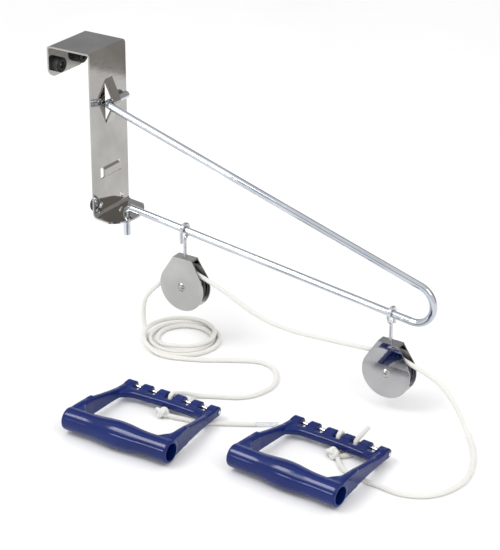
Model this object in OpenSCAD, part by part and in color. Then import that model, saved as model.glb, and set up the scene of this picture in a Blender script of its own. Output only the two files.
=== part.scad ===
// Over-door traction pulley: a hook-over bracket, a hairpin rod arm, two swivel pulley
// blocks and a rope with a hand grip at each end.
// Millimetres, +Z up. x = 0 is the bracket's door-side face, z = 0 the underside of its
// top plate and y = 0 the middle of the strip. +X points out from the door.

/* [Bracket] */
// Width of the bent strip
strip_w = 50.8; // [40:0.1:60]
// Thickness of the strip
strip_t = 1.5; // [1.2:0.1:2]
// Clear gap between the plate and the tongue
door_gap = 41.5; // [38:0.5:50]
// Height of the tongue behind the door
tongue_h = 28.5; // [24:0.5:40]
// Depth of the bottom flange's lower face at its bend, below the top plate
flange_drop = 146.5; // [140:0.5:150]
// Droop of the bottom flange, in degrees
flange_droop = 5.5; // [0:0.5:8]
// Reach of the bottom flange from the plate's back face
flange_reach = 28.5; // [27:0.5:32]
// Width of the raised strap that holds the arm's pin
strap_w = 10; // [9:0.5:10]
// Diameter of the rubber bumpers
bumper_d = 13; // [10:0.5:15]
// Height of the rubber bumpers
bumper_h = 6.5; // [5:0.5:8]

/* [Arm] */
// Diameter of the arm's rod
rod_d = 6.35; // [6.3:0.05:6.4]
// Droop of the lower limb, in degrees
low_angle = 7; // [6.5:0.5:7.5]
// Droop of the upper limb, in degrees
up_angle = 17.7; // [17.5:0.1:18]
// Radius of the U-bend at the tip, to the rod's centre line
tip_r = 16.8; // [16:0.1:17.5]

/* [Pulley blocks] */
// Diameter of the round part of a cheek
cheek_d = 44; // [42:0.5:46]
// Thickness of the housing's sheet
sheet_t = 1.2; // [1:0.1:1.4]
// Distance over both cheeks at the axle
block_w = 12.7; // [12:0.1:14]
// Height of the housing's top face above the axle
block_h = 26.6; // [26:0.1:30]
// Length of the housing's top along the arm
block_top = 19; // [16:0.5:20]
// Diameter of the hook's wire
hook_d = 3.2; // [2.8:0.1:3.4]
// Diameter of the axle
axle_d = 4; // [3.5:0.1:5]
// Diameter of the sheave's flanges
sheave_d = 37; // [35:0.5:38]

/* [Hand grips] */
// Overall length of a grip
grip_len = 100; // [96:1:104]
// Diameter of the bore through a grip
grip_bore = 14.6; // [14:0.1:15]
// Distance from the grip's middle to the notched bar's rod
grip_depth = 76.4; // [76:0.1:80]
// Spacing of the lugs along the bar
lug_pitch = 16.3; // [16:0.1:16.6]
// Width of one lug
lug_w = 8.6; // [8:0.1:9]
// Diameter of the rod through the lugs
bar_rod_d = 3.2; // [3:0.1:3.4]

/* [Rope] */
// Diameter of the braided rope
rope_d = 4; // [4:0.1:4.2]
// Middle radius of the innermost turn of the loose coil
coil_r_in = 22; // [20:1:24]
// Middle radius of the outermost turn of the loose coil
coil_r_out = 34; // [32:1:36]

/* [Hidden] */
$fn = 48;

eps = 0.01;
gap = 0.1;
rod_r = rod_d / 2;
rope_r = rope_d / 2;
fit = 0.06;

// Surface that the hand grips and the slack rope lie on
floor_z = -258.5;

// Bracket
fold_r = 1.2;
bend_r = 3;
bend_x = strip_t + bend_r;
bend_z = bend_r + strip_t - flange_drop;
flange_a = 270 - flange_droop;
flange_way = [-sin(flange_a), cos(flange_a)];
flange_len = 26;
function flange_start(r) = [bend_x + r * cos(flange_a), bend_z + r * sin(flange_a)];
stud_x = 17.4;
stud_end_z = -166.6;
flange_arc_r = 33.8;
bumper_y = 15;
tongue_bumper_z = -17;
foot_bumper_z = -137.4;
tongue_corner_r = 9;
rivet_r = 1.6;
rivet_head_r = 2.6;
rivet_head_h = 1;
strap_top_z = -27;
strap_bottom_z = -64;
strap_mid_y = 0.4;
strap_out = 8.8;
pin_x = 4.8;
pin_end_y = 21;
slot_w = 3.5;
slot_h = 10;
bridge_z = -108.5;
bridge_w = 22;
bridge_out = 1.6;

// Arm: both limbs leave the tip's U-bend on its tangents
tip_x = 299.4;
tip_z = -157.6;
limb_skew = 8;
elbow_r = 4;
stud_bend_r = 5.5;
low_x = tip_x - tip_r * sin(low_angle);
low_z = tip_z - tip_r * cos(low_angle);
up_x = tip_x + tip_r * sin(up_angle);
up_z = tip_z + tip_r * cos(up_angle);
up_len = (up_x - pin_x) / cos(up_angle);
pin_z = up_z + (up_x - pin_x) * tan(up_angle);
skew_angle = asin(limb_skew / up_len);
stop_r = 1.7;

function low_limb_z(x) = low_z + (low_x - x) * tan(low_angle);

// Pulley blocks: where each hook hangs on the lower limb
inner_x = 78.5;
outer_x = 279.5;
hang = 25.5;
inner_rod_z = low_limb_z(inner_x);
outer_rod_z = low_limb_z(outer_x);
inner_z = inner_rod_z - hang - block_h;
outer_z = outer_rod_z - hang - block_h;
hook_r = hook_d / 2;
hook_loop_r = 5.4;
hook_sag = 0.4;
hook_tip = 10.5;
hook_neck = 9;
hook_head_r = 2.9;
hook_head_h = 1.6;
block_top_w = 10;
crease_high = 5.5;
crease_low = 19;
axle_r = axle_d / 2;
axle_head_r = 3.8;
axle_head_h = 1.9;
washer_r = 5;
washer_t = 1.2;
sheave_w = 7.6;
wrap_r = 16.1;
groove_r = rope_r + 0.1;

// Hand grips, in their own frame: u along the grip, v towards the bar, w up
inner_grip_at = [131.4, -172.8];
inner_grip_turn = 0.6;
outer_grip_at = [273.1, -151.9];
outer_grip_turn = -3.5;
grip_end_r = 9.6;
grip_waist_r = 9.5;
grip_belly_r = 11.4;
grip_mid_w = 11.4;
bar_front_v = grip_depth - 13.6;
bar_back_v = grip_depth - 6.2;
bar_low_w = 4.5;
bar_high_w = 11.2;
bar_rod_w = 8.7;
lug_r = 4.1;
lug_count = 6;
bar_half = lug_pitch * (lug_count - 1) / 2 + lug_w / 2;
strut_t = 5;
knot_gap = 2;
inner_knot_shift = 1.5;
outer_knot_shift = 4.5;
tail_gap = 3;

// Middle of a gap between lugs, counted from 0
function gap_u(i) = (i - (lug_count - 2) / 2) * lug_pitch;

// Rope: routes are lists of points, in millimetres
coil_at = [71, 7];
rope_floor = floor_z + rope_r;
inner_lead_a = 133;
inner_lead_b = 74;
outer_lead_a = 96;
outer_lead_b = 75;

// Point on a wheel's rope circle, and a point d further along its tangent towards +X
function on_wrap(x, z, a) = [x + wrap_r * cos(a), 0, z + wrap_r * sin(a)];
function lead(x, z, a, d) = on_wrap(x, z, a) + d * [sin(a), 0, -cos(a)];

rise_route = [
    on_wrap(inner_x, inner_z, inner_lead_a), lead(inner_x, inner_z, inner_lead_a, -4),
    lead(inner_x, inner_z, inner_lead_a, -8), [51, 0, -205.5], [42, 0, -215],
    [36, 0, -224], [33.5, 0, -234], [34, -1, -244], [36.5, -3, -252], [40, -8, rope_floor]
];
middle_route = [
    on_wrap(inner_x, inner_z, inner_lead_b), lead(inner_x, inner_z, inner_lead_b, 9),
    [108, 0, -191.5], [124, 0, -197.5], [140, 0, -204.5], [156, 0, -210], [172, 0, -213],
    [190, 0, -214], [210, 0, -213.2], [230, 0, -212], [250, 0, -210.6],
    lead(outer_x, outer_z, outer_lead_a, -9), on_wrap(outer_x, outer_z, outer_lead_a)
];
drop_route = [
    on_wrap(outer_x, outer_z, outer_lead_b), lead(outer_x, outer_z, outer_lead_b, 9),
    [303, 0, -214.4], [314, 0, -217.8], [326, -1, -222.6],
    [337, -3, -230.5], [347, -5, -242], [354, -8, -251.5], [361, -13, rope_floor],
    [370, -26, rope_floor], [378, -42, rope_floor], [384, -60, rope_floor],
    [385, -76, rope_floor], [380, -94, rope_floor], [369, -108, rope_floor],
    [352, -115, rope_floor], [335, -114, rope_floor], [319, -113, rope_floor],
    [305, -111, rope_floor], [298, -107.4, rope_floor], [294.3, -104.2, rope_floor],
    [291.5, -101.2, rope_floor]
];
run_route = [
    [71, -27, rope_floor], [84, -28, rope_floor], [97, -23, rope_floor], [109, -17, rope_floor],
    [127, -6, rope_floor], [145, 4, rope_floor], [157, 6, rope_floor], [168, 2, rope_floor],
    [176, -7, rope_floor], [182, -19, rope_floor], [183, -31, rope_floor],
    [178, -46.7, rope_floor], [168.5, -57, rope_floor], [160, -61.5, rope_floor],
    [151.5, -66, rope_floor]
];
tail_route = [
    [134, -113.5, rope_floor], [141, -112.8, rope_floor], [148, -111.5, rope_floor],
    [156, -109.8, rope_floor], [168, -107, rope_floor], [179, -101.3, rope_floor],
    [190, -94.8, rope_floor], [204.8, -86.4, rope_floor]
];
sleeve_end = [220.5, -75.8, rope_floor];

// ---------------------------------------------------------------- helpers

// A round bar from p to q
module seg(p, q, r) {
    d = q - p;
    translate(p)
        rotate([0, acos(d[2] / norm(d)), atan2(d[1], d[0])])
            cylinder(h = norm(d), r = r);
}

// Part of a torus about Z, from angle a0 to a1
module bend(ring_r, r, a0, a1) {
    rotate([0, 0, a0])
        rotate_extrude(angle = a1 - a0)
            translate([ring_r, 0]) circle(r);
}

// The same in the XZ plane, angles from +X towards +Z
module bend_xz(ring_r, r, a0, a1) {
    rotate([90, 0, 0]) bend(ring_r, r, a0, a1);
}

// The same in the YZ plane, angles from +Y towards +Z
module bend_yz(ring_r, r, a0, a1) {
    rotate([90, 0, 90]) bend(ring_r, r, a0, a1);
}

// A hair-thin bead that welds two lengths of rod end to end
module weld(p, r) {
    translate(p) sphere(r + 0.03);
}

// A flat profile in (x, z), as wide as w across Y
module across(w) {
    rotate([90, 0, 0])
        translate([0, 0, -w / 2])
            linear_extrude(w) children();
}

// A 2D quarter-or-less ring sector
module sector(r_in, r_out, a0, a1) {
    far = 3 * r_out;
    intersection() {
        difference() {
            circle(r_out);
            circle(r_in);
        }
        polygon([[0, 0], far * [cos(a0), sin(a0)], far * [cos((a0 + a1) / 2), sin((a0 + a1) / 2)],
            far * [cos(a1), sin(a1)]]);
    }
}

// A low dome of radius r and height h on z = 0
module dome(r, h) {
    ball_r = (r * r + h * h) / (2 * h);
    intersection() {
        translate([0, 0, h - ball_r]) sphere(ball_r);
        cylinder(h = h + eps, r = r + eps);
    }
}

// Smooth curve through a route's points, n steps to each stretch
function pick(p, i) = p[max(0, min(len(p) - 1, i))];
function blend4(a, b, c, d, t) = 0.5 * (2 * b + (c - a) * t + (2 * a - 5 * b + 4 * c - d) * t * t
    + (3 * b - a - 3 * c + d) * t * t * t);
function smooth(p, n) = concat(
    [for (i = [0 : len(p) - 2], k = [0 : n - 1])
        blend4(pick(p, i - 1), p[i], p[i + 1], pick(p, i + 2), k / n)],
    [p[len(p) - 1]]);

// A tube along a curve: each ring stands square to the curve
function heading(p, i) = let (d = pick(p, i + 1) - pick(p, i - 1)) d / norm(d);
function side_of(d) = let (s = abs(d[2]) > 0.95 ? cross([0, 1, 0], d) : cross([0, 0, 1], d)) s / norm(s);
function carry(s, d) = let (c = s - (s * d) * d) c / norm(c);
function sides(p, i, s) = i == len(p) ? [] :
    let (here = carry(s, heading(p, i))) concat([here], sides(p, i + 1, here));
function ring(c, d, s, r, n) = let (t = cross(d, s))
    [for (k = [0 : n - 1]) c + r * (cos(360 * k / n) * s + sin(360 * k / n) * t)];

module tube(path, r, n = 8) {
    across_path = sides(path, 0, side_of(heading(path, 0)));
    points = [for (i = [0 : len(path) - 1])
        each ring(path[i], heading(path, i), across_path[i], r, n)];
    last = (len(path) - 1) * n;
    polyhedron(points, concat(
        [[for (k = [0 : n - 1]) k]],
        [for (i = [0 : len(path) - 2], k = [0 : n - 1])
            let (a = i * n + k, b = i * n + (k + 1) % n) each [[a, a + n, b + n], [a, b + n, b]]],
        [[for (k = [n - 1 : -1 : 0]) last + k]]));
}

// ---------------------------------------------------------------- bracket

// Side profile of the strip: tongue, top plate, plate and bottom bend
module strip_profile() {
    in_r = fold_r;
    out_r = fold_r + strip_t;
    translate([-door_gap - strip_t, strip_t - tongue_h]) square([strip_t, tongue_h - strip_t - in_r]);
    translate([-door_gap + in_r, -in_r]) sector(in_r, out_r, 90, 180);
    translate([-door_gap + in_r, 0]) square([door_gap - 2 * in_r, strip_t]);
    translate([-in_r, -in_r]) sector(in_r, out_r, 0, 90);
    translate([0, bend_z]) square([strip_t, -bend_z - in_r]);
    translate([bend_x, bend_z]) sector(bend_r, bend_r + strip_t, 180, flange_a);
    polygon([flange_start(bend_r), flange_start(bend_r + strip_t),
        flange_start(bend_r + strip_t) + flange_len * flange_way,
        flange_start(bend_r) + flange_len * flange_way]);
}

// What is cut away to leave the bottom flange's rounded edge
module flange_trim() {
    translate([flange_reach - flange_arc_r, 0, bend_z - 12])
        linear_extrude(12)
            difference() {
                translate([flange_arc_r / 2, -strip_w]) square([flange_arc_r, 2 * strip_w]);
                circle(flange_arc_r, $fn = 96);
            }
}

// Strap pressed out of the plate, a bent band over the arm's pin
module pin_strap() {
    out = strap_out + strip_t + 0.1;
    mid_z = pin_z;
    translate([0, strap_mid_y, 0])
        across(strap_w)
            polygon([[0, strap_top_z], [strip_t, strap_top_z + strip_t], [out, mid_z + 1.2],
                [out, mid_z - 1.2], [strip_t, strap_bottom_z - strip_t], [0, strap_bottom_z],
                [strap_out, mid_z - 0.9], [strap_out, mid_z + 0.9]]);
}

// Low bridge between the two slots of the plate
module slot_bridge() {
    half = slot_h / 2;
    across(bridge_w)
        polygon([[0, bridge_z - half], [strip_t, bridge_z - half],
            [strip_t + bridge_out, bridge_z - half + 2],
            [strip_t + bridge_out, bridge_z + half - 2], [strip_t, bridge_z + half], [0, bridge_z + half],
            [bridge_out, bridge_z + half - 2], [bridge_out, bridge_z - half + 2]]);
}

module tongue_corners() {
    for (side = [-1, 1])
        translate([-door_gap - strip_t / 2, side * (strip_w / 2 - tongue_corner_r),
            strip_t - tongue_h + tongue_corner_r])
            rotate([90, 0, 90])
                linear_extrude(3 * strip_t, center = true)
                    difference() {
                        translate([side > 0 ? 0 : -tongue_corner_r - 1, -tongue_corner_r - 1])
                            square(tongue_corner_r + 1);
                        circle(tongue_corner_r);
                    }
}

module along_x(p, len, r) {
    translate(p) rotate([0, 90, 0]) cylinder(h = len, r = r);
}

module bracket_strip() {
    color("silver")
        difference() {
            union() {
                difference() {
                    across(strip_w) strip_profile();
                    flange_trim();
                    translate([-1, strap_mid_y - strap_w / 2 - 0.6, strap_bottom_z])
                        cube([strip_t + 2, strap_w + 1.2, strap_top_z - strap_bottom_z]);
                    translate([-1, -bridge_w / 2 - slot_w, bridge_z - slot_h / 2])
                        cube([strip_t + 2, bridge_w + 2 * slot_w, slot_h]);
                }
                pin_strap();
                slot_bridge();
            }
            tongue_corners();
            translate([stud_x, 0, stud_end_z]) cylinder(h = 30, r = rod_r + fit);
            for (y = [-bumper_y, bumper_y]) {
                along_x([-1, y, foot_bumper_z], strip_t + 2, rivet_r);
                along_x([-door_gap - strip_t - 1, y, tongue_bumper_z], strip_t + 2, rivet_r);
            }
        }
}

// Rubber foot with a countersunk middle hole, standing on x = 0 towards -X
module bumper() {
    difference() {
        union() {
            along_x([-bumper_h + 0.8, 0, 0], bumper_h - 0.8, bumper_d / 2);
            along_x([-bumper_h, 0, 0], bumper_h, bumper_d / 2 - 0.8);
        }
        along_x([-bumper_h - 1, 0, 0], bumper_h + 2, rivet_r);
        along_x([-bumper_h - 1, 0, 0], 3.5, rivet_head_r + 0.3);
    }
}

module tongue_bumpers() {
    color("black")
        for (y = [-bumper_y, bumper_y])
            translate([-door_gap, y, tongue_bumper_z]) mirror([1, 0, 0]) bumper();
}

module foot_bumpers() {
    color("black")
        for (y = [-bumper_y, bumper_y])
            translate([0, y, foot_bumper_z]) bumper();
}

// Rivet along X: its domed head stands on x = 0, its flared end inside the bumper
module rivet() {
    rotate([0, 90, 0]) dome(rivet_head_r, rivet_head_h);
    along_x([-strip_t - 4, 0, 0], strip_t + 4 + eps, rivet_r);
    along_x([-strip_t - 4.5, 0, 0], 0.5, rivet_head_r);
}

module tongue_rivets() {
    color("gainsboro")
        for (y = [-bumper_y, bumper_y])
            translate([-door_gap - strip_t, y, tongue_bumper_z]) mirror([1, 0, 0]) rivet();
}

module foot_rivets() {
    color("gainsboro")
        for (y = [-bumper_y, bumper_y])
            translate([strip_t, y, foot_bumper_z]) rivet();
}

// ---------------------------------------------------------------- arm

module arm_rod() {
    stud_c = [stud_x + stud_bend_r, 0, low_limb_z(stud_x + stud_bend_r * (1 + sin(low_angle)))
        - stud_bend_r * cos(low_angle)];
    limb_in = stud_c + stud_bend_r * [sin(low_angle), 0, cos(low_angle)];
    arc_y = elbow_r - limb_skew;
    color("lightsteelblue") {
        // lower limb, its turn down and the stud
        seg(limb_in, [low_x, 0, low_z], rod_r);
        translate(stud_c) bend_xz(stud_bend_r, rod_r, 90 - low_angle, 180);
        translate([stud_x, 0, stud_end_z + 0.6]) cylinder(h = stud_c[2] - stud_end_z - 0.6, r = rod_r);
        translate([stud_x, 0, stud_end_z]) cylinder(h = 0.7, r1 = rod_r - 0.6, r2 = rod_r);
        // U-bend at the tip
        translate([tip_x, 0, tip_z]) bend_xz(tip_r, rod_r, -90 - low_angle, 90 - up_angle);
        // upper limb, its elbow and the pin behind the strap
        translate([pin_x, 0, pin_z])
            rotate([0, up_angle, 0]) {
                seg([elbow_r * (1 + sin(skew_angle)), arc_y - elbow_r * cos(skew_angle), 0],
                    [up_len, 0, 0], rod_r);
                translate([elbow_r, arc_y, 0]) bend(elbow_r, rod_r, 180, 270 + skew_angle);
                seg([0, arc_y, 0], [0, pin_end_y, 0], rod_r);
                weld([elbow_r * (1 + sin(skew_angle)), arc_y - elbow_r * cos(skew_angle), 0], rod_r);
                weld([0, arc_y, 0], rod_r);
                weld([up_len, 0, 0], rod_r);
            }
        weld(limb_in, rod_r);
        weld([stud_x, 0, stud_c[2]], rod_r);
        weld([low_x, 0, low_z], rod_r);
        // pinched stops that keep the hooks apart
        for (x = [62, 290], side = [-1, 1])
            translate([x, side * 2.2, low_limb_z(x)]) sphere(stop_r);
    }
}

// ---------------------------------------------------------------- pulley blocks

// Hook, with its origin at the rod's middle. side is the Y side that the shank rises on.
module hook(side) {
    neck_r = (hook_neck * hook_neck + hook_loop_r * hook_loop_r) / (4 * hook_loop_r);
    neck_a = 2 * atan(hook_loop_r / hook_neck);
    loop_z = -hook_sag;
    neck_z = loop_z - 1.5;
    shank_z = neck_z - hook_neck;
    head_z = -hang - sheet_t - hook_head_h - gap / 2;
    mirror([0, side > 0 ? 0 : 1, 0]) {
        translate([0, 0, loop_z]) bend_yz(hook_loop_r, hook_r, 0, 180);
        seg([0, hook_loop_r, neck_z], [0, hook_loop_r, loop_z], hook_r);
        translate([0, hook_loop_r - neck_r, neck_z]) bend_yz(neck_r, hook_r, -neck_a, 0);
        translate([0, neck_r, shank_z]) bend_yz(neck_r, hook_r, 180 - neck_a, 180);
        seg([0, 0, head_z], [0, 0, shank_z], hook_r);
        translate([0, 0, head_z]) cylinder(h = hook_head_h, r = hook_head_r);
        seg([0, -hook_loop_r, -hook_tip], [0, -hook_loop_r, loop_z], hook_r);
    }
}

// Side outline of a cheek: a round part and the two tangents up to the folded top
module cheek_outline() {
    r = cheek_d / 2;
    corner = [block_top / 2, block_h];
    spread = acos(r / norm(corner));
    a = atan2(corner[1], corner[0]) - spread;
    circle(r, $fn = 96);
    polygon([r * [cos(a), sin(a)], corner, [-corner[0], corner[1]], r * [-cos(a), sin(a)]]);
}

// End view of the folded sheet, in (y, z)
module fold_outline() {
    half = block_w / 2;
    top = block_top_w / 2;
    low = -cheek_d;
    difference() {
        polygon([[-top, block_h], [top, block_h], [top, block_h - crease_high], [half, block_h - crease_low],
            [half, low], [-half, low], [-half, block_h - crease_low], [-top, block_h - crease_high]]);
        polygon([[-top + sheet_t, block_h - sheet_t], [top - sheet_t, block_h - sheet_t],
            [top - sheet_t, block_h - crease_high], [half - sheet_t, block_h - crease_low],
            [half - sheet_t, low - 1], [-half + sheet_t, low - 1],
            [-half + sheet_t, block_h - crease_low], [-top + sheet_t, block_h - crease_high]]);
    }
}

module along_y(y0, y1, r) {
    translate([0, y1, 0]) rotate([90, 0, 0]) cylinder(h = y1 - y0, r = r);
}

module housing() {
    color("gainsboro")
        difference() {
            intersection() {
                across(2 * block_w) cheek_outline();
                rotate([90, 0, 90]) linear_extrude(2 * cheek_d, center = true) fold_outline();
            }
            along_y(-block_w, block_w, axle_r + fit);
            cylinder(h = block_h + 1, r = hook_r + fit);
        }
}

module axle() {
    half = block_w / 2;
    color("white") {
        along_y(-half, half, axle_r);
        for (turn = [0, 180])
            rotate([0, 0, turn]) translate([0, half, 0]) rotate([-90, 0, 0]) dome(axle_head_r, axle_head_h);
    }
}

module washers() {
    inside = block_w / 2 - sheet_t;
    color("darkgray")
        for (y = [-inside + 0.05, inside - washer_t - 0.05])
            difference() {
                along_y(y, y + washer_t, washer_r);
                along_y(y - 1, y + 2, axle_r + fit);
            }
}

module sheave() {
    half = sheave_w / 2;
    color("dimgray")
        rotate([90, 0, 0])
            rotate_extrude($fn = 96)
                difference() {
                    translate([axle_r + fit, -half]) square([sheave_d / 2 - axle_r - fit, sheave_w]);
                    translate([wrap_r, 0]) circle(groove_r, $fn = 32);
                    polygon([[wrap_r, -groove_r], [sheave_d / 2 + 1, -half + 0.7],
                        [sheave_d / 2 + 1, half - 0.7], [wrap_r, groove_r]]);
                }
}

module at_inner_block() {
    translate([inner_x, 0, inner_z]) children();
}

module at_outer_block() {
    translate([outer_x, 0, outer_z]) children();
}

module inner_hook() {
    color("silver") translate([inner_x, 0, inner_rod_z]) hook(1);
}

module outer_hook() {
    color("silver") translate([outer_x, 0, outer_rod_z]) hook(-1);
}

module inner_housing() { at_inner_block() housing(); }
module inner_axle() { at_inner_block() axle(); }
module inner_washers() { at_inner_block() washers(); }
module inner_sheave() { at_inner_block() sheave(); }
module outer_housing() { at_outer_block() housing(); }
module outer_axle() { at_outer_block() axle(); }
module outer_washers() { at_outer_block() washers(); }
module outer_sheave() { at_outer_block() sheave(); }

// ---------------------------------------------------------------- hand grips

module in_handle(at, turn) {
    translate([at[0], at[1], floor_z]) rotate([0, 0, turn]) children();
}

// Radius of the moulded grip at a place u along it
function grip_r(u) = let (t = abs(u) / (grip_len / 2))
    t < 0.55 ? grip_waist_r + (grip_belly_r - grip_waist_r) * (1 + cos(180 * t / 0.55)) / 2
             : grip_waist_r + (grip_end_r - grip_waist_r) * (1 - cos(180 * (t - 0.55) / 0.45)) / 2;

module grip_body() {
    half = grip_len / 2;
    step = half / 12;
    translate([0, 0, grip_mid_w])
        rotate([0, 90, 0])
            rotate_extrude()
                polygon(concat([[0, -half]],
                    [for (u = [-half : step : half + eps]) [grip_r(u), u]],
                    [[0, half]]));
}

// Blade between the grip and the notched bar
module strut(side) {
    hull() {
        translate([side > 0 ? grip_len / 2 - strut_t - 1.5 : -grip_len / 2 + 1.5, 4, grip_mid_w - 7.6])
            cube([strut_t, 3, 17.1]);
        translate([side > 0 ? bar_half - strut_t : -bar_half, bar_front_v, bar_low_w])
            cube([strut_t, bar_back_v - bar_front_v, bar_high_w - bar_low_w]);
    }
}

// Gusset that fills the corner between the grip and a blade
module gusset(side) {
    translate([0, 0, bar_low_w - 0.2])
        linear_extrude(16.2)
            scale([side, 1])
                polygon([[36, 6], [41, 10], [44, 17], [45, 27], [48, 27], [49.3, 4], [40, 2]]);
}

module lug(u) {
    translate([u + lug_w / 2, 0, 0])
        rotate([90, 0, -90])
            linear_extrude(lug_w) {
                translate([-grip_depth, bar_rod_w]) circle(lug_r);
                translate([-grip_depth, bar_low_w])
                    square([grip_depth - bar_back_v + 1, bar_rod_w + lug_r - bar_low_w]);
            }
}

module handle() {
    color("royalblue")
        difference() {
            union() {
                grip_body();
                strut(-1);
                strut(1);
                gusset(-1);
                gusset(1);
                translate([-bar_half, bar_front_v, bar_low_w])
                    cube([2 * bar_half, bar_back_v - bar_front_v, bar_high_w - bar_low_w]);
                for (i = [0 : lug_count - 1])
                    lug((i - (lug_count - 1) / 2) * lug_pitch);
            }
            translate([-grip_len, 0, grip_mid_w])
                rotate([0, 90, 0]) cylinder(h = 2 * grip_len, r = grip_bore / 2);
            translate([-grip_len, grip_depth, bar_rod_w])
                rotate([0, 90, 0]) cylinder(h = 2 * grip_len, r = bar_rod_d / 2 + 0.03);
        }
}

module bar_rod() {
    half = bar_half + 0.8;
    color("silver")
        translate([-half, grip_depth, bar_rod_w])
            rotate([0, 90, 0]) cylinder(h = 2 * half, r = bar_rod_d / 2);
}

// Knot in front of the bar
module knot_ball() {
    hull() {
        translate([-3.6, grip_depth - 17.9, 4.3]) sphere(4.1, $fn = 20);
        translate([4, grip_depth - 18.3, 3.8]) sphere(3.7, $fn = 20);
        translate([0.5, grip_depth - 20, 3.6]) sphere(3.5, $fn = 20);
    }
}

// A point on the floor seen in a grip's own frame, and the point d further on from a to b
function to_grip(p, at, turn) = let (x = p[0] - at[0], y = p[1] - at[1])
    [x * cos(turn) + y * sin(turn), y * cos(turn) - x * sin(turn), p[2] - floor_z];
function beyond(a, b, d) = b + d * (b - a) / norm(b - a);
function route_end(p, d) = beyond(p[len(p) - 2], p[len(p) - 1], d);

turn_r = bar_rod_d / 2 + rope_r + 0.12;

// Rope over the rod from angle a on its far side to the bar's side, then down
function over_rod(u, a) = concat(
    [for (k = [a : 45 : 180]) [u, grip_depth + turn_r * cos(k), bar_rod_w + turn_r * sin(k)]],
    [[u - 0.3, grip_depth - turn_r, bar_rod_w - 4.1], [u - 0.7, grip_depth - 4.6, 2.6],
        [u - 1, grip_depth - 7.5, 2.1], [u - 1.2, grip_depth - 11.5, 2.1],
            [u - 0.6, grip_depth - 16.4, 2.6]]);

// Rope that arrives from outside, turns over the rod and comes forward under the bar to its knot
module knot_from_outside() {
    u = gap_u(knot_gap);
    pass = concat(
        [for (d = [0, 5, 9]) to_grip(route_end(run_route, d), inner_grip_at, inner_grip_turn)],
        [[u + 8.2, grip_depth + 22.4, 3], [u + 4, grip_depth + 16.8, 5.6], [u + 1.4, grip_depth + 9.6, 9]],
        over_rod(u, 45));
    color("ivory") {
        tube(smooth(pass, 2), rope_r);
        translate([u + inner_knot_shift, 0, 0]) knot_ball();
    }
}

// Rope that arrives from inside, passes under the bar and turns back over the rod to its knot
module knot_from_inside() {
    u = gap_u(knot_gap);
    pass = concat(
        [for (d = [0, 3, 6]) to_grip(route_end(drop_route, d), outer_grip_at, outer_grip_turn)],
        [[u + 7.6, grip_depth - 15.6, rope_r + 0.1], [u + 5.1, grip_depth - 11, rope_r + 0.1],
            [u + 4.2, grip_depth - 6.5, rope_r + 0.1], [u + 3.2, grip_depth - 1.5, rope_r + 0.1],
            [u + 1.2, grip_depth + 4, rope_r + 0.4], [u + 0.1, grip_depth + 4.9, rope_r + 3]],
        over_rod(u, 0));
    color("ivory") {
        tube(smooth(pass, 2), rope_r);
        translate([u + outer_knot_shift, 0, 0]) knot_ball();
    }
}

// Free rope end, up through the next gap from the knot
module stub() {
    u = gap_u(tail_gap);
    color("ivory")
        tube(smooth([[u - 10, grip_depth - 17.6, rope_r + 0.6], [u - 5.6, grip_depth - 15.8, rope_r + 0.2],
            [u - 1.8, grip_depth - 11, rope_r + 0.1], [u - 0.3, grip_depth - 6.2, rope_r + 0.2],
            [u, grip_depth - 4, bar_rod_w - 4.4], [u, grip_depth - turn_r, bar_rod_w],
            [u, grip_depth - 0.7 * turn_r, bar_rod_w + 0.75 * turn_r],
            [u, grip_depth + 0.6, bar_rod_w + turn_r + 0.3],
            [u + 0.3, grip_depth + 7, bar_rod_w + turn_r + 1.8],
            [u + 0.8, grip_depth + 15, bar_rod_w + turn_r + 4.2]], 2), rope_r);
}

module inner_handle() { in_handle(inner_grip_at, inner_grip_turn) handle(); }
module inner_bar_rod() { in_handle(inner_grip_at, inner_grip_turn) bar_rod(); }
module inner_knot() { in_handle(inner_grip_at, inner_grip_turn) knot_from_outside(); }
module outer_handle() { in_handle(outer_grip_at, outer_grip_turn) handle(); }
module outer_bar_rod() { in_handle(outer_grip_at, outer_grip_turn) bar_rod(); }
module outer_knot() { in_handle(outer_grip_at, outer_grip_turn) knot_from_inside(); }
module rope_outer_tail() { in_handle(outer_grip_at, outer_grip_turn) stub(); }

// ---------------------------------------------------------------- rope

module rope_inner_tail() { color("ivory") tube(smooth(tail_route, 2), rope_r); }
module rope_inner_run() { color("ivory") tube(smooth(run_route, 1), rope_r); }
module rope_inner_rise() { color("ivory") tube(smooth(rise_route, 2), rope_r); }
module rope_middle() { color("ivory") tube(smooth(middle_route, 1), rope_r); }
module rope_outer_drop() { color("ivory") tube(smooth(drop_route, 1), rope_r); }

module rope_tip_sleeve() {
    start = tail_route[len(tail_route) - 1];
    color("whitesmoke") seg(start, sleeve_end, rope_r - 0.2);
}

// Outer shape of the loose coil
module rope_coil() {
    color("ivory")
        translate([coil_at[0], coil_at[1], floor_z])
            rotate_extrude($fn = 64)
                translate([coil_r_in - rope_r, 0])
                    square([coil_r_out - coil_r_in + 2 * rope_r, 2 * rope_d]);
}

module wrap(a0, a1) {
    color("ivory") bend_xz(wrap_r, rope_r, a0, a1);
}

module rope_inner_wrap() { at_inner_block() wrap(inner_lead_b, inner_lead_a); }
module rope_outer_wrap() { at_outer_block() wrap(outer_lead_b, outer_lead_a); }

bracket_strip();
tongue_bumpers();
foot_bumpers();
tongue_rivets();
foot_rivets();
arm_rod();
inner_hook();
inner_housing();
inner_axle();
inner_washers();
inner_sheave();
outer_hook();
outer_housing();
outer_axle();
outer_washers();
outer_sheave();
inner_handle();
inner_bar_rod();
inner_knot();
outer_handle();
outer_bar_rod();
outer_knot();
rope_inner_tail();
rope_tip_sleeve();
rope_inner_run();
rope_coil();
rope_inner_rise();
rope_inner_wrap();
rope_middle();
rope_outer_wrap();
rope_outer_drop();
rope_outer_tail();
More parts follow.
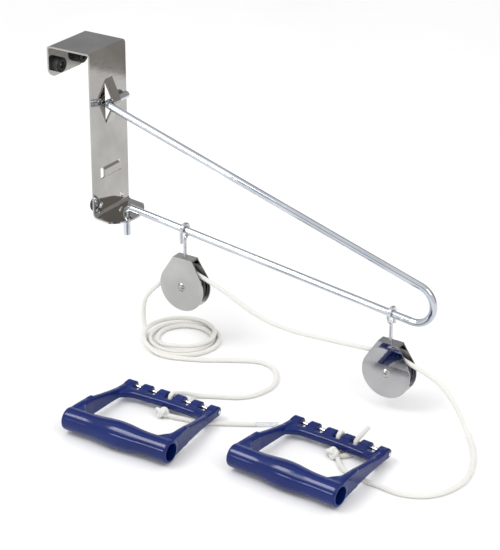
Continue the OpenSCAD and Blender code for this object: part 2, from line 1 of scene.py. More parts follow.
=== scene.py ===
"""Over-door traction pulley: the CAD frame with braided rope, moulded grips and steel finishes.

Lengths are in millimetres, in the CAD's frame, until mm() turns them into metres.
"""
import math

import bmesh
import bpy
from mathutils import Matrix, Vector


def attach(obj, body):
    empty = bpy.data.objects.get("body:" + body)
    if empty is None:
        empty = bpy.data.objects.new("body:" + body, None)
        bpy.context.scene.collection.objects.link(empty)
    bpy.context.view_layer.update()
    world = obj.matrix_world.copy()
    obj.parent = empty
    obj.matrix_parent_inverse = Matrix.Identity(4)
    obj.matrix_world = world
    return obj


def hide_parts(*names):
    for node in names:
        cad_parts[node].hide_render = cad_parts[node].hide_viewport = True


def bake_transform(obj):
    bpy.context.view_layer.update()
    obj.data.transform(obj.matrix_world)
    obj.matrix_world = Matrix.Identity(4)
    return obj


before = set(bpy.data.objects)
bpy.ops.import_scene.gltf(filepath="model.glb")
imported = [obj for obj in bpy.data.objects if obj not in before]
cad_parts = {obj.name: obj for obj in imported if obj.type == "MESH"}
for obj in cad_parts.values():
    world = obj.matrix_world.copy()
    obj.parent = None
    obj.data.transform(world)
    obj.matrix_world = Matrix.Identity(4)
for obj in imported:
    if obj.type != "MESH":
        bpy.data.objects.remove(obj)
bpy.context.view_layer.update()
MM = 0.001


def mm(p):
    """A point in millimetres as a vector in metres."""
    return Vector((p[0] * MM, p[1] * MM, p[2] * MM))


def linked(name, data):
    """A new object in the scene."""
    ob = bpy.data.objects.new(name, data)
    bpy.context.scene.collection.objects.link(ob)
    return ob


# ---------------------------------------------------------------- camera
# The view is from the room, to the right of the arm and a little above it.
AZIMUTH, ELEVATION, ROLL = math.radians(32.08), math.radians(25.48), math.radians(0.461)
CAMERA_AT = (870.8, -1158.9, 478.8)
back = Vector((
    math.sin(AZIMUTH) * math.cos(ELEVATION),
    -math.cos(AZIMUTH) * math.cos(ELEVATION),
    math.sin(ELEVATION),
))
level_right = Vector((math.cos(AZIMUTH), math.sin(AZIMUTH), 0.0))
level_up = back.cross(level_right)
right = math.cos(ROLL) * level_right + math.sin(ROLL) * level_up
up = -math.sin(ROLL) * level_right + math.cos(ROLL) * level_up
cam_data = bpy.data.cameras.new("camera")
cam_data.lens = 117.8
cam_data.sensor_width = 36.0
cam_data.clip_start = 0.05
cam_data.clip_end = 50.0
cam = linked("camera", cam_data)
cam.matrix_world = Matrix.Translation(mm(CAMERA_AT)) @ Matrix((right, up, back)).transposed().to_4x4()
bpy.context.scene.camera = cam


# ---------------------------------------------------------------- materials
def new_mat(name):
    """A material, its node tree and its shader."""
    mat = bpy.data.materials.new(name)
    mat.use_nodes = True
    tree = mat.node_tree
    return mat, tree, tree.nodes["Principled BSDF"]


def node(tree, kind, **inputs):
    """A new shader node. A space in an input's name is written as an underscore."""
    new = tree.nodes.new(kind)
    for key, value in inputs.items():
        new.inputs[key.replace("_", " ")].default_value = value
    return new


def math_node(tree, operation):
    """A new node for one sum."""
    new = node(tree, "ShaderNodeMath")
    new.operation = operation
    return new


def noise_of(tree, scale, stretch=(1, 1, 1), detail=4.0, rough=0.55):
    """Noise fixed to the object, drawn out along the axes whose stretch is small."""
    coords = tree.nodes.new("ShaderNodeTexCoord")
    mapping = tree.nodes.new("ShaderNodeMapping")
    mapping.inputs["Scale"].default_value = stretch
    noise = node(tree, "ShaderNodeTexNoise", Scale=scale, Detail=detail, Roughness=rough)
    tree.links.new(coords.outputs["Object"], mapping.inputs["Vector"])
    tree.links.new(mapping.outputs["Vector"], noise.inputs["Vector"])
    return noise.outputs["Fac"]


def remap(tree, fac, low, high, a=0.3, b=0.7):
    """The stretch of fac from a to b, spread over low to high."""
    spread = node(tree, "ShaderNodeMapRange")
    spread.inputs["From Min"].default_value = a
    spread.inputs["From Max"].default_value = b
    spread.inputs["To Min"].default_value = low
    spread.inputs["To Max"].default_value = high
    tree.links.new(fac, spread.inputs["Value"])
    return spread.outputs["Result"]


def two_tone(tree, fac, dark, light, a=0.35, b=0.65):
    """A blend from dark, where fac is a, to light, where it is b."""
    ramp = tree.nodes.new("ShaderNodeValToRGB")
    ramp.color_ramp.elements[0].position = a
    ramp.color_ramp.elements[0].color = (*dark, 1)
    ramp.color_ramp.elements[1].position = b
    ramp.color_ramp.elements[1].color = (*light, 1)
    tree.links.new(fac, ramp.inputs["Fac"])
    return ramp.outputs["Color"]


def bump(tree, bsdf, height, strength, distance):
    """Relief in the shader's normal."""
    relief = node(tree, "ShaderNodeBump", Strength=strength, Distance=distance)
    tree.links.new(height, relief.inputs["Height"])
    tree.links.new(relief.outputs["Normal"], bsdf.inputs["Normal"])


def metal(name, dark, light, low, high, stretch=(1, 1, 1), grain=900.0, relief=0.02, cloud=30.0):
    """Bare or plated metal: cloudy tint, uneven polish and fine rubbing marks."""
    mat, tree, bsdf = new_mat(name)
    bsdf.inputs["Metallic"].default_value = 1.0
    tree.links.new(two_tone(tree, noise_of(tree, cloud, detail=6.0), dark, light), bsdf.inputs["Base Color"])
    fine = noise_of(tree, grain, stretch, detail=3.0)
    tree.links.new(remap(tree, fine, low, high), bsdf.inputs["Roughness"])
    bump(tree, bsdf, fine, relief, 0.0001)
    return mat


def plastic(name, dark, light, rough, relief, coat=0.0, sheen=0.0, scale=260.0):
    """Moulded plastic, rubber or fibre: faintly mottled, with a fine grain."""
    mat, tree, bsdf = new_mat(name)
    tree.links.new(two_tone(tree, noise_of(tree, 22.0, detail=5.0), dark, light), bsdf.inputs["Base Color"])
    fine = noise_of(tree, scale, detail=4.0)
    tree.links.new(remap(tree, fine, rough * 0.85, rough * 1.15), bsdf.inputs["Roughness"])
    bsdf.inputs["Coat Weight"].default_value = coat
    bsdf.inputs["Coat Roughness"].default_value = 0.08
    bsdf.inputs["Sheen Weight"].default_value = sheen
    bump(tree, bsdf, fine, relief, 0.0002)
    return mat


# Metals: darkest and lightest tint, smoothest and roughest polish, then the way the marks run
steel = metal(
    "polished_strip", (0.38, 0.37, 0.355), (0.46, 0.45, 0.43), 0.04, 0.11, (1, 0.12, 1), 700.0, 0.03)
chrome = metal(
    "chrome_plate", (0.50, 0.53, 0.58), (0.62, 0.65, 0.70), 0.03, 0.08, (0.08, 1, 1), 900.0, 0.015)
bright = metal(
    "bright_plate", (0.72, 0.72, 0.72), (0.85, 0.85, 0.85), 0.08, 0.16, (1, 1, 1), 1200.0, 0.02)
zinc = metal(
    "zinc_wire", (0.55, 0.56, 0.58), (0.72, 0.73, 0.75), 0.16, 0.28, (1, 1, 0.15), 1100.0, 0.03)
sheet = metal(
    "plated_sheet", (0.41, 0.41, 0.40), (0.49, 0.49, 0.48), 0.10, 0.20, (1, 1, 0.1), 800.0, 0.03)
mirror = metal(
    "polished_sheet", (0.38, 0.38, 0.39), (0.46, 0.46, 0.47), 0.02, 0.06, (1, 1, 0.1), 800.0, 0.02)
wheel = metal(
    "turned_wheel", (0.20, 0.20, 0.21), (0.30, 0.30, 0.32), 0.28, 0.42, (1, 6, 1), 600.0, 0.06)
blue = plastic("blue_moulding", (0.002, 0.011, 0.100), (0.003, 0.016, 0.130), 0.17, 0.05, coat=0.2)
blue.node_tree.nodes["Principled BSDF"].inputs["Specular IOR Level"].default_value = 0.2
rubber = plastic("black_rubber", (0.010, 0.010, 0.010), (0.022, 0.022, 0.022), 0.62, 0.35, scale=700.0)
fray = plastic(
    "frayed_rope", (0.66, 0.64, 0.60), (0.84, 0.83, 0.80), 0.85, 0.5, sheen=0.4, scale=1500.0)


def sleeve_material():
    """Clear tube, streaked along its length."""
    mat, tree, bsdf = new_mat("clear_sleeve")
    bsdf.inputs["Base Color"].default_value = (0.86, 0.88, 0.90, 1)
    bsdf.inputs["Transmission Weight"].default_value = 0.75
    bsdf.inputs["IOR"].default_value = 1.45
    streak = noise_of(tree, 500.0, (0.2, 1, 1))
    tree.links.new(remap(tree, streak, 0.12, 0.30), bsdf.inputs["Roughness"])
    bump(tree, bsdf, streak, 0.15, 0.0002)
    return mat


def rope_material():
    """Braid: the mesh's UV runs once round the rope in u and along it in v, both in plait steps."""
    mat, tree, bsdf = new_mat("white_braid")
    uv = tree.nodes.new("ShaderNodeUVMap")
    split = tree.nodes.new("ShaderNodeSeparateXYZ")
    tree.links.new(uv.outputs["UV"], split.inputs["Vector"])
    waves = []
    for lay in (1.0, -1.0):
        along = math_node(tree, "MULTIPLY")
        along.inputs[1].default_value = lay * math.pi
        tree.links.new(split.outputs["Y"], along.inputs[0])
        both = math_node(tree, "MULTIPLY_ADD")
        both.inputs[1].default_value = math.pi
        tree.links.new(split.outputs["X"], both.inputs[0])
        tree.links.new(along.outputs[0], both.inputs[2])
        wave = math_node(tree, "COSINE")
        tree.links.new(both.outputs[0], wave.inputs[0])
        waves.append(wave.outputs[0])
    crossing = math_node(tree, "MULTIPLY")
    tree.links.new(waves[0], crossing.inputs[0])
    tree.links.new(waves[1], crossing.inputs[1])
    strand = math_node(tree, "ABSOLUTE")
    tree.links.new(crossing.outputs[0], strand.inputs[0])
    # Painted shade: the braid's colour darkens along the grooves between its strands, where the plait pattern
    # is lowest.
    shade = two_tone(tree, strand.outputs[0], (0.62, 0.60, 0.55), (0.86, 0.85, 0.815), 0.0, 0.30)
    fibre = noise_of(tree, 1600.0, detail=3.0)
    mix = tree.nodes.new("ShaderNodeMix")
    mix.data_type = "RGBA"
    mix.blend_type = "MULTIPLY"
    mix.inputs["Factor"].default_value = 0.35
    tree.links.new(shade, mix.inputs["A"])
    tree.links.new(two_tone(tree, fibre, (0.80, 0.79, 0.77), (1, 1, 1)), mix.inputs["B"])
    tree.links.new(mix.outputs["Result"], bsdf.inputs["Base Color"])
    bsdf.inputs["Roughness"].default_value = 0.72
    bsdf.inputs["Sheen Weight"].default_value = 0.25
    relief = math_node(tree, "MULTIPLY_ADD")
    relief.inputs[1].default_value = 0.4
    tree.links.new(fibre, relief.inputs[0])
    tree.links.new(strand.outputs[0], relief.inputs[2])
    bump(tree, bsdf, relief.outputs[0], 0.6, 0.0002)
    return mat


sleeve = sleeve_material()
braid = rope_material()


# ---------------------------------------------------------------- rope routes, as in the CAD
ROPE_R = 2.0
FLOOR = -258.5
ON_FLOOR = FLOOR + ROPE_R

# The arm's lower limb: it droops from the bracket to the U-bend at the tip
DROOP = math.radians(7)
TIP_X, TIP_Z, TIP_R = 299.4, -157.6, 16.8
LOW_X = TIP_X - TIP_R * math.sin(DROOP)
LOW_Z = TIP_Z - TIP_R * math.cos(DROOP)

# The two wheels: where they hang, and where the rope leaves them, in degrees
INNER_X, OUTER_X = 78.5, 279.5
AXLE_DROP = 52.1
WRAP_R = 16.1
FEED_A, SPAN_IN_A, SPAN_OUT_A, FALL_A = 133, 74, 96, 75


def rod_z(x):
    """Height of the lower limb's centre line."""
    return LOW_Z + (LOW_X - x) * math.tan(DROOP)


INNER = (INNER_X, rod_z(INNER_X) - AXLE_DROP)
OUTER = (OUTER_X, rod_z(OUTER_X) - AXLE_DROP)
WHEELS = {"inner": INNER, "outer": OUTER}


def on_wrap(axle, a, d=0.0):
    """A point on a wheel's rope circle, or d further along its tangent towards +X."""
    a = math.radians(a)
    return (
        axle[0] + WRAP_R * math.cos(a) + d * math.sin(a),
        0.0,
        axle[1] + WRAP_R * math.sin(a) - d * math.cos(a),
    )


def on_floor(*xy):
    """The rope's centre line where it lies on the floor."""
    return [(x, y, ON_FLOOR) for x, y in xy]


rise_route = [
    on_wrap(INNER, FEED_A, -8), (51, 0, -205.5), (42, 0, -215), (36, 0, -224), (33.5, 0, -234),
    (34, -1, -244), (36.5, -3, -252),
]
middle_route = [
    on_wrap(INNER, SPAN_IN_A, 9), (108, 0, -191.5), (124, 0, -197.5), (140, 0, -204.5), (156, 0, -210),
    (172, 0, -213), (190, 0, -214), (210, 0, -213.2), (230, 0, -212), (250, 0, -210.6),
    on_wrap(OUTER, SPAN_OUT_A, -9),
]
MIDDLE_LOW = 6
drop_route = [
    on_wrap(OUTER, FALL_A, 9), (303, 0, -214.4), (314, 0, -217.8), (326, -1, -222.6),
    (337, -3, -230.5), (347, -5, -242), (354, -8, -251.5),
]
slack_route = on_floor(
    (361, -13), (370, -26), (378, -42), (384, -60), (385, -76), (380, -94), (369, -108),
    (352, -115), (335, -114), (319, -113), (305, -111), (298, -107.4), (294.3, -104.2),
    (291.5, -101.2),
)
SLACK_FROM = 3
run_route = on_floor(
    (84, -28), (97, -23), (109, -17), (127, -6), (145, 4), (157, 6), (168, 2), (176, -7),
    (182, -19), (183, -31), (178, -46.7), (168.5, -57), (160, -61.5), (151.5, -66),
)
tail_route = on_floor(
    (134, -113.5), (141, -112.8), (148, -111.5), (156, -109.8), (168, -107), (179, -101.3),
    (190, -94.8), (204.8, -86.4),
)

COIL_AT = (71.0, 7.0)
COIL_START = 206
COIL_STEP = 10
COIL_OUT, COIL_IN = 34.4, 22.8


def coil_turns():
    """Two turns wound inwards on the floor, a quarter turn up, and a last turn outwards on top."""
    pts = []
    down = 72
    climb = 9
    top = 34
    for k in range(down + 1):
        a = COIL_START + COIL_STEP * k
        t = k / down
        slack = math.sin(math.pi * t)
        wobble = 0.9 * math.sin(math.radians(2.0 * a + 40)) * slack
        lift = 0.3 * math.sin(math.radians(a)) * slack
        pts.append((a, COIL_OUT - 11.6 * t + wobble, ROPE_R + lift))
    for k in range(1, climb + 1):
        t = k / climb
        a = COIL_START + COIL_STEP * (down + k)
        pts.append((a, COIL_IN + 0.6 * math.sin(math.pi * t), ROPE_R + 4.1 * t * t * (3 - 2 * t)))
    for k in range(1, top + 1):
        t = k / top
        a = COIL_START + COIL_STEP * (down + climb + k)
        height = 6.1 if t < 0.86 else 6.1 - 4.1 * ((t - 0.86) / 0.14)
        pts.append((a, COIL_IN + 14.4 * t ** 0.9, max(ROPE_R, height)))
    return [
        (COIL_AT[0] + r * math.cos(math.radians(a)), COIL_AT[1] + r * math.sin(math.radians(a)), FLOOR + z)
        for a, r, z in pts
    ]


def smooth_path(pts, step):
    """A smooth curve through the points, cut into even short steps, all in millimetres."""
    p = [Vector(q) for q in pts]
    dense = []
    for i in range(len(p) - 1):
        a, b, c, d = p[max(i - 1, 0)], p[i], p[i + 1], p[min(i + 2, len(p) - 1)]
        n = max(4, int((c - b).length / 0.25))
        for k in range(n):
            t = k / n
            dense.append(0.5 * (2 * b + (c - a) * t + (2 * a - 5 * b + 4 * c - d) * t * t
                                + (3 * b - a - 3 * c + d) * t ** 3))
    dense.append(p[-1])
    total = sum((dense[i + 1] - dense[i]).length for i in range(len(dense) - 1))
    count = max(8, round(total / step))
    out, done, goal, k = [dense[0]], 0.0, total / count, 1
    for i in range(len(dense) - 1):
        seg = (dense[i + 1] - dense[i]).length
        while k < count and done + seg >= goal * k:
            out.append(dense[i].lerp(dense[i + 1], (goal * k - done) / seg))
            k += 1
        done += seg
    out.append(dense[-1])
    return out, total


PLAITS = 8
PLAIT_LEN = 1.9
PLAIT_DEPTH = 0.045
ROUND = 24
PATH_EVERY = 4


def plait(th, s):
    """How far the braid stands out, from 0 to 1, at an angle round the rope and a way s along it."""
    round_way = PLAITS * th / 2
    long_way = math.pi * s / PLAIT_LEN
    return abs(math.cos(round_way + long_way) * math.cos(round_way - long_way))


def rope_piece(name, pts, radius=ROPE_R, frayed=0.0):
    """A braided round rope along the points. frayed is how much its far end narrows, as a share."""
    line, total = smooth_path(pts, 0.5)
    n = len(line)
    bm = bmesh.new()
    uv_layer = bm.loops.layers.uv.new("UVMap")
    normal = None
    rings, s = [], 0.0
    for i, c in enumerate(line):
        d = (line[min(i + 1, n - 1)] - line[max(i - 1, 0)]).normalized()
        if normal is None:
            ref = Vector((0, 0, 1)) if abs(d.z) < 0.9 else Vector((0, 1, 0))
            normal = (ref - d * ref.dot(d)).normalized()
        normal = (normal - d * normal.dot(d)).normalized()
        side = d.cross(normal)
        if i:
            s += (line[i] - line[i - 1]).length
        near_end = min(1.0, (total - s) / 2.0)
        edge = 1 - frayed * (1 - math.sqrt(max(0.0, 1 - (1 - near_end) ** 2)))
        ring = []
        for k in range(ROUND):
            th = 2 * math.pi * k / ROUND
            r = radius * edge * (1 - PLAIT_DEPTH + PLAIT_DEPTH * plait(th, s))
            ring.append(bm.verts.new(mm(c + r * (math.cos(th) * normal + math.sin(th) * side))))
        rings.append((ring, s))
    for (a, sa), (b, sb) in zip(rings, rings[1:]):
        for k in range(ROUND):
            f = bm.faces.new((a[k], a[(k + 1) % ROUND], b[(k + 1) % ROUND], b[k]))
            f.smooth = True
            u0, u1 = PLAITS * k / ROUND, PLAITS * (k + 1) / ROUND
            for loop, (u, v) in zip(f.loops, ((u0, sa), (u1, sa), (u1, sb), (u0, sb))):
                loop[uv_layer].uv = (u, v / PLAIT_LEN)
    for ring, flip in ((rings[0][0], True), (rings[-1][0], False)):
        centre = bm.verts.new(sum((v.co for v in ring), Vector()) / ROUND)
        for k in range(ROUND):
            a, b = ring[k], ring[(k + 1) % ROUND]
            bm.faces.new((b, a, centre) if flip else (a, b, centre))
    bmesh.ops.recalc_face_normals(bm, faces=bm.faces[:])
    mesh = bpy.data.meshes.new(name)
    bm.to_mesh(mesh)
    bm.free()
    ob = linked(name, mesh)
    mesh.materials.append(braid)
    return ob, [tuple(mm(q)) for q in line[::PATH_EVERY] + [line[-1]]], total * MM


# ---------------------------------------------------------------- the grips' own frames
# u runs along a grip, v towards its notched bar and w up from the floor.
GRIPS = {"inner": ((131.4, -172.8), 0.6), "outer": ((273.1, -151.9), -3.5)}
DEPTH, ROD_W, ROD_R = 76.4, 8.7, 1.6
PITCH = 16.3
TURN_R = ROD_R + ROPE_R + 0.12


def in_grip(side, p):
    """A point in a grip's own frame, put in the CAD's frame."""
    (x, y), turn = GRIPS[side]
    t = math.radians(turn)
    u, v, w = p
    return (x + u * math.cos(t) - v * math.sin(t), y + u * math.sin(t) + v * math.cos(t), FLOOR + w)


def to_grip(side, p):
    """A point in the CAD's frame, put in a grip's own frame."""
    (x, y), turn = GRIPS[side]
    t = math.radians(turn)
    x, y = p[0] - x, p[1] - y
    return (x * math.cos(t) + y * math.sin(t), y * math.cos(t) - x * math.sin(t), p[2] - FLOOR)


def route_end(side, pts, d):
    """A point d past the end of a route, in a grip's own frame."""
    a, b = Vector(pts[-2]), Vector(pts[-1])
    return to_grip(side, b + (b - a).normalized() * d)


def over_rod(first):
    """Rope over the bar's rod at u = 0, from an angle on its far side, then down and forward."""
    turn = [
        (0.0, DEPTH + TURN_R * math.cos(math.radians(k)), ROD_W + TURN_R * math.sin(math.radians(k)))
        for k in range(first, 181, 45)
    ]
    return turn + [
        (-0.3, DEPTH - TURN_R, ROD_W - 4.1), (-0.7, DEPTH - 4.6, 2.6), (-1, DEPTH - 7.5, 2.1),
        (-1.2, DEPTH - 11.5, 2.1), (-0.6, DEPTH - 16.4, 2.6),
    ]


def overhand(side, at, turn):
    """An overhand knot pulled up close, as a closed three-lobed loop flattened on to the floor."""
    long, wide, high = 4.8, 3.6, 2.1
    steps = 48
    pts = []
    for k in range(steps + 1):
        t = 2 * math.pi * k / steps
        x = (math.sin(t) + 2 * math.sin(2 * t)) / 3
        y = (math.cos(t) - 2 * math.cos(2 * t)) / 3
        z = -math.sin(3 * t)
        c, s = math.cos(turn), math.sin(turn)
        pts.append(in_grip(side, (
            at[0] + long * (x * c - y * s),
            at[1] + wide * (x * s + y * c),
            at[2] + high * z,
        )))
    return pts


# ---------------------------------------------------------------- rope pieces
# From the slack coil up to the inner wheel, and from the coil's other end to the inner grip
coil = coil_turns()
feed, feed_path, feed_len = rope_piece("rope_feed_and_coil", coil[::-1] + rise_route[::-1])
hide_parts("rope_inner_rise", "rope_coil")
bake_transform(feed)
lead, lead_path, lead_len = rope_piece("rope_lead", [coil[-1]] + run_route)
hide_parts("rope_inner_run")
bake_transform(lead)

# Between the wheels, in two halves that meet at the sag's lowest point
span_a, span_a_path, span_a_len = rope_piece("rope_span_inner", middle_route[:MIDDLE_LOW + 1])
span_b, span_b_path, span_b_len = rope_piece("rope_span_outer", middle_route[MIDDLE_LOW:])
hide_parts("rope_middle")
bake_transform(span_a)
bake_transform(span_b)

# From the outer wheel down to the floor, and round to the outer grip
fall, fall_path, fall_len = rope_piece("rope_fall", drop_route + slack_route[:SLACK_FROM + 1])
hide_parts("rope_outer_drop")
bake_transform(fall)
slack, slack_path, slack_len = rope_piece("rope_slack", slack_route[SLACK_FROM:])
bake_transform(slack)

# Necks: the short way from each free stretch to its wheel
necks = {}
for name, side, a, far in (
        ("rope_neck_feed", "inner", FEED_A, -8), ("rope_neck_span_inner", "inner", SPAN_IN_A, 9),
        ("rope_neck_span_outer", "outer", SPAN_OUT_A, -9), ("rope_neck_fall", "outer", FALL_A, 9)):
    neck_pts = [on_wrap(WHEELS[side], a, d) for d in (far, far / 2, 0.0)]
    necks[name] = rope_piece(name, neck_pts)[0]
    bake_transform(necks[name])

# Wraps: the rope that lies in each wheel's groove
WRAP_STEPS = 8
wraps = {}
for side, a0, a1 in (("inner", SPAN_IN_A, FEED_A), ("outer", FALL_A, SPAN_OUT_A)):
    wrap_pts = [on_wrap(WHEELS[side], a0 + (a1 - a0) * k / WRAP_STEPS) for k in range(WRAP_STEPS + 1)]
    wraps[side] = rope_piece("rope_wrap_" + side, wrap_pts)[0]
    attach(wraps[side], side + "_block")
    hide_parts("rope_%s_wrap" % side)

# Inner grip: over its rod, the knot, and the tail that ends in the clear sleeve
in_pass = [route_end("inner", run_route, d) for d in (0, 5, 9)]
in_pass += [(8.2, DEPTH + 22.4, 3), (4, DEPTH + 16.8, 5.6), (1.4, DEPTH + 9.6, 9)]
in_pass += over_rod(45)
turn_in, turn_in_path, turn_in_len = rope_piece("rope_turn_inner", [in_grip("inner", p) for p in in_pass])
knot_in = rope_piece("rope_knot_inner", overhand("inner", (1.8, DEPTH - 18.4, 4.2), 0.3), radius=1.9)[0]
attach(turn_in, "inner_rope_end")
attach(knot_in, "inner_rope_end")
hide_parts("inner_knot")
tail_in, tail_in_path, tail_in_len = rope_piece("rope_tail_inner", tail_route)
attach(tail_in, "inner_rope_end")
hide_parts("rope_inner_tail")

# Outer grip: under its bar from the front, back over its rod, the knot, and the frayed end
out_pass = [route_end("outer", slack_route, d) for d in (0, 3, 6)]
out_pass += [
    (7.6, DEPTH - 15.6, 2.1), (5.1, DEPTH - 11, 2.1), (4.2, DEPTH - 6.5, 2.1), (3.2, DEPTH - 1.5, 2.1),
    (1.2, DEPTH + 4, 2.4), (0.1, DEPTH + 4.9, 5),
]
out_pass += over_rod(0)
turn_out, turn_out_path, turn_out_len = rope_piece("rope_turn_outer", [in_grip("outer", p) for p in out_pass])
knot_out = rope_piece("rope_knot_outer", overhand("outer", (4.8, DEPTH - 18.4, 4.2), 0.9), radius=1.95)[0]
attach(turn_out, "outer_rope_end")
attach(knot_out, "outer_rope_end")
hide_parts("outer_knot")
stub_pts = [
    (PITCH - 10, DEPTH - 17.6, 2.6), (PITCH - 5.6, DEPTH - 15.8, 2.2), (PITCH - 1.8, DEPTH - 11, 2.1),
    (PITCH - 0.3, DEPTH - 6.2, 2.2), (PITCH, DEPTH - 4, ROD_W - 4.4), (PITCH, DEPTH - TURN_R, ROD_W),
    (PITCH, DEPTH - 0.7 * TURN_R, ROD_W + 0.75 * TURN_R), (PITCH, DEPTH + 0.6, ROD_W + TURN_R + 0.3),
    (PITCH + 0.3, DEPTH + 7, ROD_W + TURN_R + 1.8), (PITCH + 0.8, DEPTH + 15, ROD_W + TURN_R + 4.2),
]
stub, stub_path, stub_len = rope_piece("rope_end_outer", [in_grip("outer", p) for p in stub_pts], frayed=0.7)
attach(stub, "outer_rope_end")
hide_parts("rope_outer_tail")
stub.data.materials[0] = fray


# ---------------------------------------------------------------- grips
HALF = 50.0
TUBE_W = 11.4
WAIST_R, BELLY_SWELL, END_FLARE = 9.5, 1.9, 0.1
BELLY_SHARE = 0.55
BORE_R = 7.3
BAR_LOW, BAR_HIGH = 4.5, 11.2
BAR_FRONT, BAR_BACK = DEPTH - 13.6, DEPTH - 6.2
BAR_HALF = 42.0
LUGS, LUG_HALF, LUG_R = 6, 4.45, 4.3

# Cuts across a blade, tall at the tube and low at the bar: (v, middle u, half of u, middle w, half of w)
BLADE = [
    (1.0, 45.6, 4.2, 11.4, 9.2), (9, 45.4, 3.8, 11.8, 9.1), (16, 45.2, 3.4, 12.2, 8.7),
    (26, 45.0, 2.8, 12.0, 8.0), (38, 44.2, 2.6, 10.7, 6.5), (50, 43.4, 2.5, 9.6, 5.2),
    (60, 42.8, 2.8, 8.7, 4.3), (71, 42.2, 3.2, 8.3, 3.9),
]
# Outline in (u, v) of the gusset between the tube and a blade
GUSSET = [
    (34, 3), (37, 7.5), (41, 11.5), (43.6, 17), (44.6, 23), (45.2, 28), (47.6, 28), (48.8, 14), (49.3, 4),
    (44, 1),
]


def lathe(bm, profile, segs=64):
    """Solid of revolution about the tube's own axis, from (u, radius) pairs."""
    rings = []
    for u, r in profile:
        turns = [2 * math.pi * k / segs for k in range(segs)]
        rings.append([bm.verts.new((u, r * math.cos(t), TUBE_W + r * math.sin(t))) for t in turns])
    for a, b in zip(rings, rings[1:]):
        for k in range(segs):
            bm.faces.new((a[k], b[k], b[(k + 1) % segs], a[(k + 1) % segs]))
    bm.faces.new(rings[0])
    bm.faces.new(rings[-1][::-1])


def loft(bm, sections):
    """Closed solid through sections of equal point counts."""
    rings = [[bm.verts.new(p) for p in s] for s in sections]
    n = len(rings[0])
    for a, b in zip(rings, rings[1:]):
        for k in range(n):
            bm.faces.new((a[k], a[(k + 1) % n], b[(k + 1) % n], b[k]))
    bm.faces.new(rings[0][::-1])
    bm.faces.new(rings[-1])


def rounded_square(power, n=20):
    """Outline of half-width 1. The power takes it from a circle, at 1, towards a square, at 0."""
    out = []
    for k in range(n):
        t = 2 * math.pi * k / n
        c, s = math.cos(t), math.sin(t)
        out.append((math.copysign(abs(c) ** power, c), math.copysign(abs(s) ** power, s)))
    return out


def blade_cut(side, v, cu, ru, cw, rw):
    """Section of a blade across v. side is -1 or 1."""
    return [(side * cu + ru * a, v, cw + rw * b) for a, b in rounded_square(0.45)]


def bar_cut(u, v0, v1, w0, w1):
    """Section of the bar across u."""
    return [
        (u, (v0 + v1) / 2 + (v1 - v0) / 2 * a, (w0 + w1) / 2 + (w1 - w0) / 2 * b)
        for a, b in rounded_square(0.6)
    ]


def tube_radius(u):
    """Radius of the tube, which swells in the middle for the palm."""
    t = abs(u) / HALF
    if t < BELLY_SHARE:
        return WAIST_R + BELLY_SWELL * (1 + math.cos(math.pi * t / BELLY_SHARE)) / 2
    return WAIST_R + END_FLARE * (1 - math.cos(math.pi * (t - BELLY_SHARE) / (1 - BELLY_SHARE))) / 2


def tube(bm):
    """The tube, with eased ends."""
    steps = 40
    first = -HALF + 1.4
    profile = [(-HALF, 8.7), (-HALF + 0.5, 9.3)]
    profile += [(u, tube_radius(u)) for u in [first + i * (2 * HALF - 2.8) / steps for i in range(steps + 1)]]
    profile += [(HALF - 0.5, 9.3), (HALF, 8.7)]
    lathe(bm, profile)


def blade(bm, side):
    """One blade, its gusset, and the web that rounds the hand opening's corner at the bar."""
    cuts = [blade_cut(side, *cut) for cut in BLADE]
    loft(bm, cuts if side > 0 else [cut[::-1] for cut in cuts])
    floors = [[(side * u, v, w) for u, v in GUSSET] for w in (4.4, 20.4)]
    loft(bm, floors if side < 0 else [f[::-1] for f in floors])
    web = [
        bar_cut(side * (22 + 18 * k / 6), DEPTH - 13.4 - 6.5 * (k / 6) ** 2.4, DEPTH - 6.6,
                BAR_LOW + 0.2, BAR_HIGH - 0.2)
        for k in range(7)
    ]
    loft(bm, web[::-1] if side > 0 else web)


def bar(bm):
    """The bar between the blades, a little thinner in the middle."""
    steps = 24
    cuts = []
    for k in range(steps + 1):
        front = BAR_FRONT + 0.6 * math.cos(math.pi * (k / (steps / 2) - 1))
        cuts.append(bar_cut(-BAR_HALF + 2 * BAR_HALF * k / steps, front, BAR_BACK, BAR_LOW, BAR_HIGH))
    loft(bm, cuts[::-1])


def lug(bm, u):
    """One lug: round over the rod, and drawn forward into the bar."""
    steps = 28
    outline = []
    for k in range(steps):
        t = 2 * math.pi * k / steps
        if math.cos(t) > 0:
            outline.append((DEPTH + LUG_R * math.cos(t), ROD_W + LUG_R * math.sin(t)))
        else:
            outline.append((DEPTH - 8.5 * abs(math.cos(t)) ** 0.35, ROD_W - 0.2 + 4.1 * math.sin(t)))
    loft(bm, [[(u - LUG_HALF, v, w) for v, w in outline], [(u + LUG_HALF, v, w) for v, w in outline]])


def solid_of(name, bm):
    """A linked object from a finished bmesh."""
    bmesh.ops.recalc_face_normals(bm, faces=bm.faces[:])
    mesh = bpy.data.meshes.new(name)
    bm.to_mesh(mesh)
    bm.free()
    return linked(name, mesh)


def bore_cutter(side):
    """The solid that the tube's bore is cut with."""
    segs = 64
    reach = 60
    turns = [2 * math.pi * k / segs for k in range(segs)]
    ring = [(BORE_R * math.cos(t), TUBE_W + BORE_R * math.sin(t)) for t in turns]
    bm = bmesh.new()
    loft(bm, [[(-reach, v, w) for v, w in ring], [(reach, v, w) for v, w in ring]])
    return solid_of("bore_" + side, bm)


